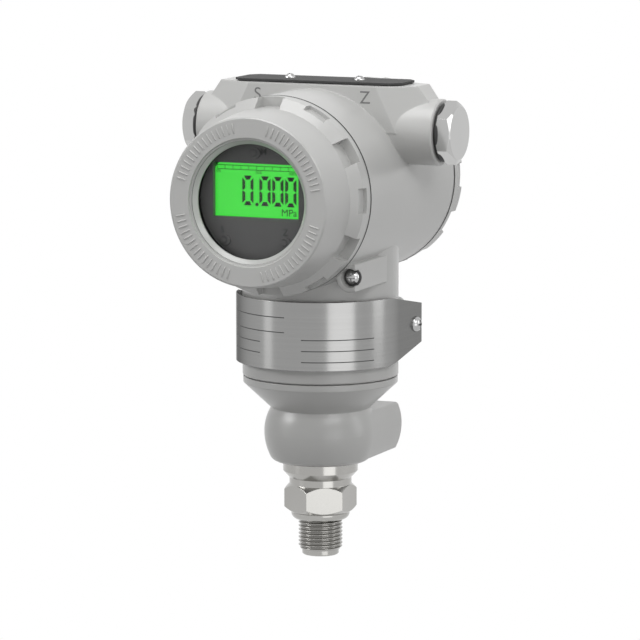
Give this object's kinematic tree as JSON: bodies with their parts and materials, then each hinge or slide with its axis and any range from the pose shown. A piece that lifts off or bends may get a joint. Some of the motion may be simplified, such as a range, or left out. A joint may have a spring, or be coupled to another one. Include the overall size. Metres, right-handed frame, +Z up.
{
  "type": "pressure transmitter",
  "caption": "Pressure transmitter: threaded steel fitting under a swollen cast base, swivelling round head with a digital window, screw covers and plugged cable entries.",
  "frame": {"origin": "on the pressure thread's axis, at the shoulder where the thread ends", "axes": "+Z up along the pressure thread's axis, away from the port; the display faces -Y; the cable entries lie along +X and -X"},
  "size_m": [0.1366, 0.1568, 0.2282],
  "materials": {
    "paint": "satin light grey",
    "stainless": "turned and brushed",
    "nickel": "bright nickel",
    "screw_steel": "bright",
    "seal_rubber": "matte black",
    "window": "clear",
    "black_aluminium": "black",
    "display_black": "dark grey",
    "lcd_green": "backlit green",
    "circuit": "circuit board",
    "potting": "cast resin",
    "terminal_plastic": "moulded",
    "roof_dark": "dark, fine grain",
    "button_plastic": "smooth"
  },
  "bodies": {
    "sensor": {"process_fitting": "stainless", "diaphragm": "stainless", "sensor_capsule": "stainless", "sensor_board": "circuit", "sensor_header": "terminal_plastic", "sensor_body": "paint", "potting_disc": "potting", "neck_seal": "seal_rubber"},
    "head": {"housing": "paint", "neck_lock_screw": "screw_steel", "name_band": "stainless", "band_screws": "screw_steel", "feedthrough": "potting", "electronics_module": "potting", "module_screws": "screw_steel", "display_rear_case": "display_black", "display_board": "circuit", "lcd_panel": "lcd_green", "display_bezel": "display_black", "terminal_block": "terminal_plastic", "terminal_clamps": "screw_steel", "terminal_screws": "screw_steel", "inner_ground_screw": "screw_steel", "roof_plate": "roof_dark", "roof_gasket": "seal_rubber", "roof_screws": "screw_steel"},
    "front_seal": {"front_cover_seal": "seal_rubber"},
    "front_cap": {"front_cover": "paint", "window_gasket": "seal_rubber", "window_glass": "window", "glass_ring": "black_aluminium"},
    "rear_seal": {"rear_cover_seal": "seal_rubber"},
    "rear_cap": {"rear_cover": "paint"},
    "right_seal": {"right_plug_seal": "seal_rubber"},
    "right_plug": {"right_plug": "nickel"},
    "left_seal": {"left_plug_seal": "seal_rubber"},
    "left_plug": {"left_plug": "nickel"},
    "washer": {"ground_washer": "screw_steel"},
    "ground_screw": {"ground_screw": "screw_steel"},
    "zero_button": {"zero_button": "button_plastic"},
    "span_button": {"span_button": "button_plastic"},
    "mode_key": {"mode_key": "display_black"},
    "span_key": {"span_key": "display_black"},
    "zero_key": {"zero_key": "display_black"}
  },
  "joints": [
    {"name": "head_swivel", "type": "hinge", "parent": "sensor", "child": "head", "pos_m": [0, 0, 0.0697], "axis": [0, 0, 1], "range_deg": [-175, 175]},
    {"name": "front_seal_slide", "type": "slide", "parent": "head", "child": "front_seal", "axis": [0, -1, 0], "range_m": [0, 0.01205]},
    {"name": "front_cap_turn", "type": "hinge", "parent": "front_seal", "child": "front_cap", "pos_m": [0, -0.055, 0.1596], "axis": [0, -1, 0], "range_deg": [0, 2160]},
    {"name": "rear_seal_slide", "type": "slide", "parent": "head", "child": "rear_seal", "axis": [0, 1, 0], "range_m": [0, 0.01205]},
    {"name": "rear_cap_turn", "type": "hinge", "parent": "rear_seal", "child": "rear_cap", "pos_m": [0, 0.06, 0.1596], "axis": [0, 1, 0], "range_deg": [0, 2160]},
    {"name": "right_seal_slide", "type": "slide", "parent": "head", "child": "right_seal", "axis": [1, 0, 0], "range_m": [0, 0.01205]},
    {"name": "right_plug_turn", "type": "hinge", "parent": "right_seal", "child": "right_plug", "pos_m": [0.062, 0.005, 0.186], "axis": [1, 0, 0], "range_deg": [0, 2880]},
    {"name": "left_seal_slide", "type": "slide", "parent": "head", "child": "left_seal", "axis": [-1, 0, 0], "range_m": [0, 0.01205]},
    {"name": "left_plug_turn", "type": "hinge", "parent": "left_seal", "child": "left_plug", "pos_m": [-0.062, 0.005, 0.186], "axis": [-1, 0, 0], "range_deg": [0, 2880]},
    {"name": "washer_slide", "type": "slide", "parent": "head", "child": "washer", "axis": [0, -1, 0], "range_m": [0, 0.0028]},
    {"name": "ground_screw_turn", "type": "hinge", "parent": "washer", "child": "ground_screw", "pos_m": [0.0337, -0.042, 0.1222], "axis": [0, -1, 0], "range_deg": [0, 1440]},
    {"name": "zero_button_press", "type": "slide", "parent": "head", "child": "zero_button", "axis": [0, 0, -1], "range_m": [0, 0.002], "stiffness_N_per_m": 400},
    {"name": "span_button_press", "type": "slide", "parent": "head", "child": "span_button", "axis": [0, 0, -1], "range_m": [0, 0.002], "stiffness_N_per_m": 400},
    {"name": "mode_key_press", "type": "slide", "parent": "head", "child": "mode_key", "axis": [0, 1, 0], "range_m": [0, 0.0005], "stiffness_N_per_m": 1000},
    {"name": "span_key_press", "type": "slide", "parent": "head", "child": "span_key", "axis": [0, 1, 0], "range_m": [0, 0.0005], "stiffness_N_per_m": 1000},
    {"name": "zero_key_press", "type": "slide", "parent": "head", "child": "zero_key", "axis": [0, 1, 0], "range_m": [0, 0.0005], "stiffness_N_per_m": 1000}
  ],
  "couplings": [
    {"joint": "front_seal_slide", "follows": "front_cap_turn", "m_per_rad": 0.00031831},
    {"joint": "rear_seal_slide", "follows": "rear_cap_turn", "m_per_rad": 0.00031831},
    {"joint": "right_seal_slide", "follows": "right_plug_turn", "m_per_rad": 0.00023873},
    {"joint": "left_seal_slide", "follows": "left_plug_turn", "m_per_rad": 0.00023873}
  ]
}
